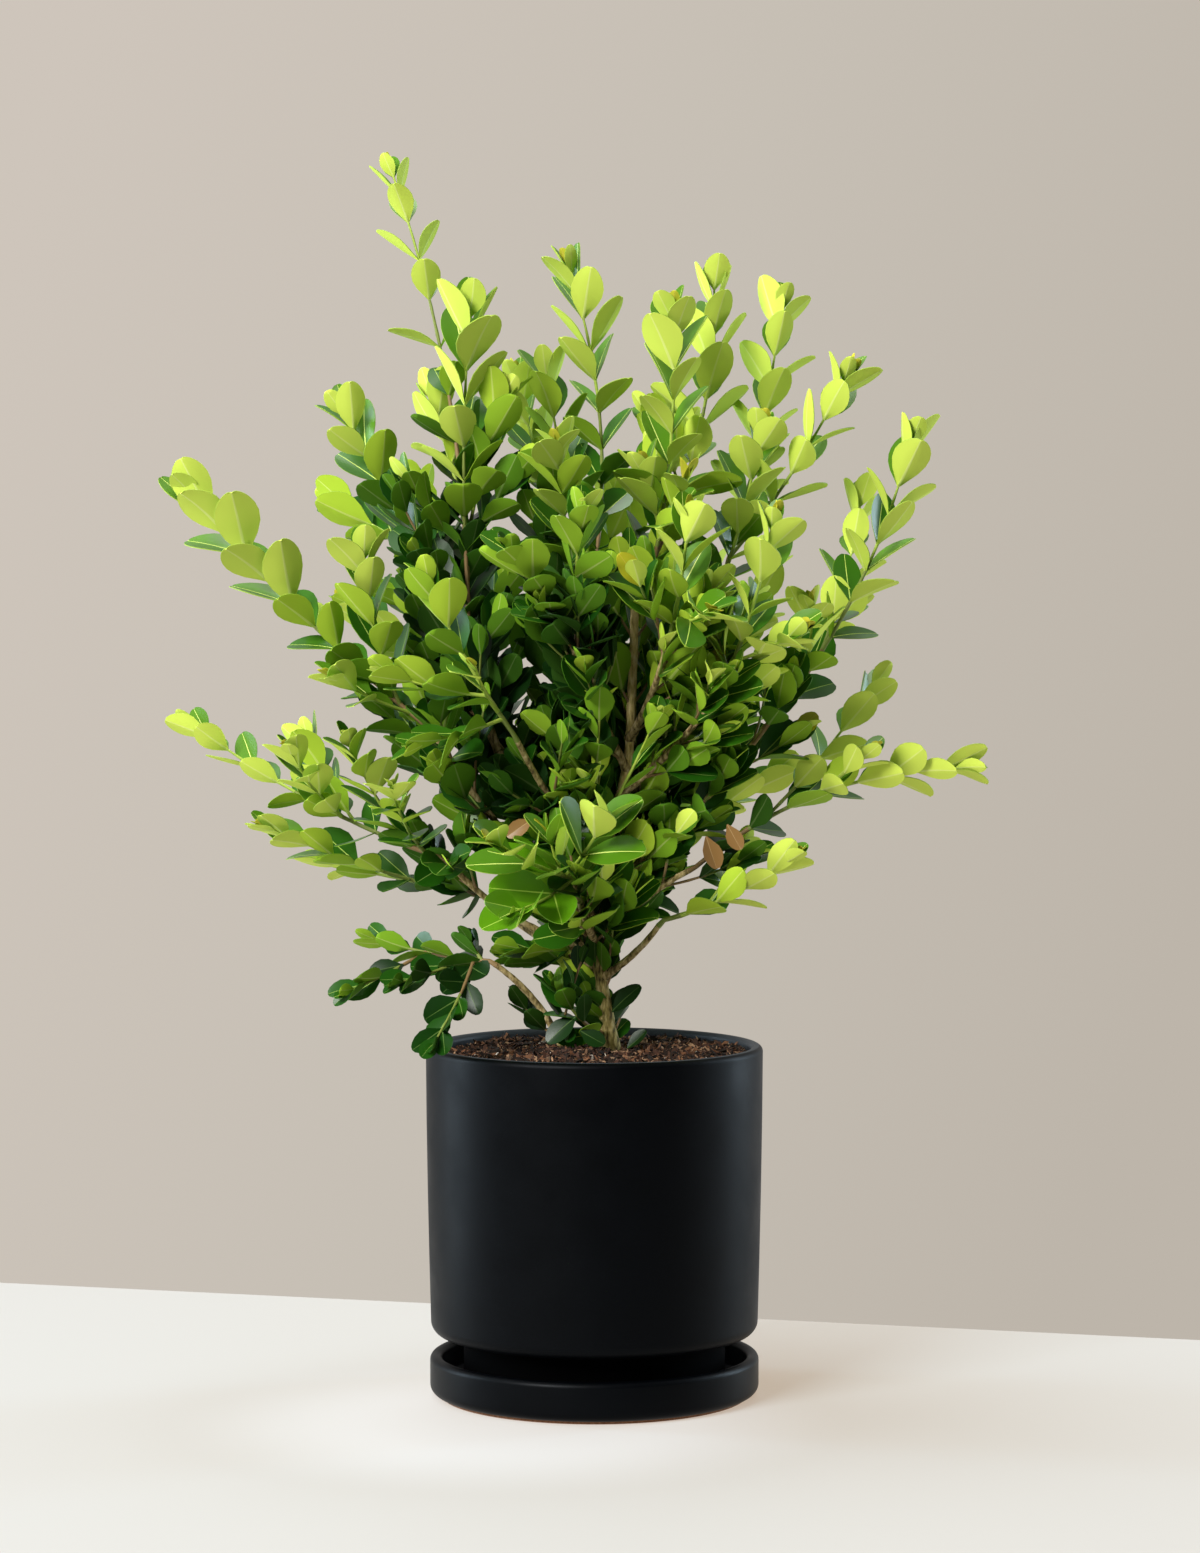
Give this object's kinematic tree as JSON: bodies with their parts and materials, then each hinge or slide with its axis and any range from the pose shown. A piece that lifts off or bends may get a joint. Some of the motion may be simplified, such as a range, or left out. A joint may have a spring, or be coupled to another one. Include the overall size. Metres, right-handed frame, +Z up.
{
  "type": "potted boxwood shrub",
  "caption": "Loose, unclipped boxwood shrub with small paired leaves, growing in a matt black cylindrical ceramic pot on a matching saucer.",
  "frame": {"origin": "centre of the saucer's flat underside, on the surface that the pot stands on", "axes": "+Z up, -Y towards the front, +X to the right seen from the front"},
  "size_m": [0.4438, 0.3305, 0.6758],
  "materials": {
    "glaze": "satin",
    "soil": "matte",
    "bark": "matte",
    "foliage": "satin"
  },
  "bodies": {
    "root": {"back_bough": "bark", "back_centre": "foliage", "back_far": "foliage", "back_far_bough": "bark", "back_left": "foliage", "back_left_bough": "bark", "back_low": "foliage", "back_low_bough": "bark", "back_right": "foliage", "back_right_bough": "bark", "droop": "foliage", "droop_bough": "bark", "foot_sprout": "foliage", "front_bough": "bark", "front_centre": "foliage", "front_centre_bough": "bark", "front_left": "foliage", "front_left_bough": "bark", "front_low": "foliage", "front_right": "foliage", "front_right_bough": "bark", "front_upper": "foliage", "front_upper_bough": "bark", "inner_back": "foliage", "inner_front": "foliage", "inner_left": "foliage", "inner_right": "foliage", "inner_right_low": "foliage", "left_bough": "bark", "left_far": "foliage", "left_foot_bough": "bark", "left_high": "foliage", "left_low": "foliage", "left_low_bough": "bark", "left_mid": "foliage", "left_mid_bough": "bark", "left_upper_bough": "bark", "mid_bough": "bark", "pot": "glaze", "right_bough": "bark", "right_foot_bough": "bark", "right_low": "foliage", "right_low_bough": "bark", "right_lower": "foliage", "right_upper": "foliage", "saucer": "glaze", "soil": "soil", "tall_left": "foliage", "top_centre": "foliage", "top_right": "foliage", "top_right_inner": "foliage", "trunk": "bark", "upper_right_bough": "bark"}
  },
  "joints": []
}
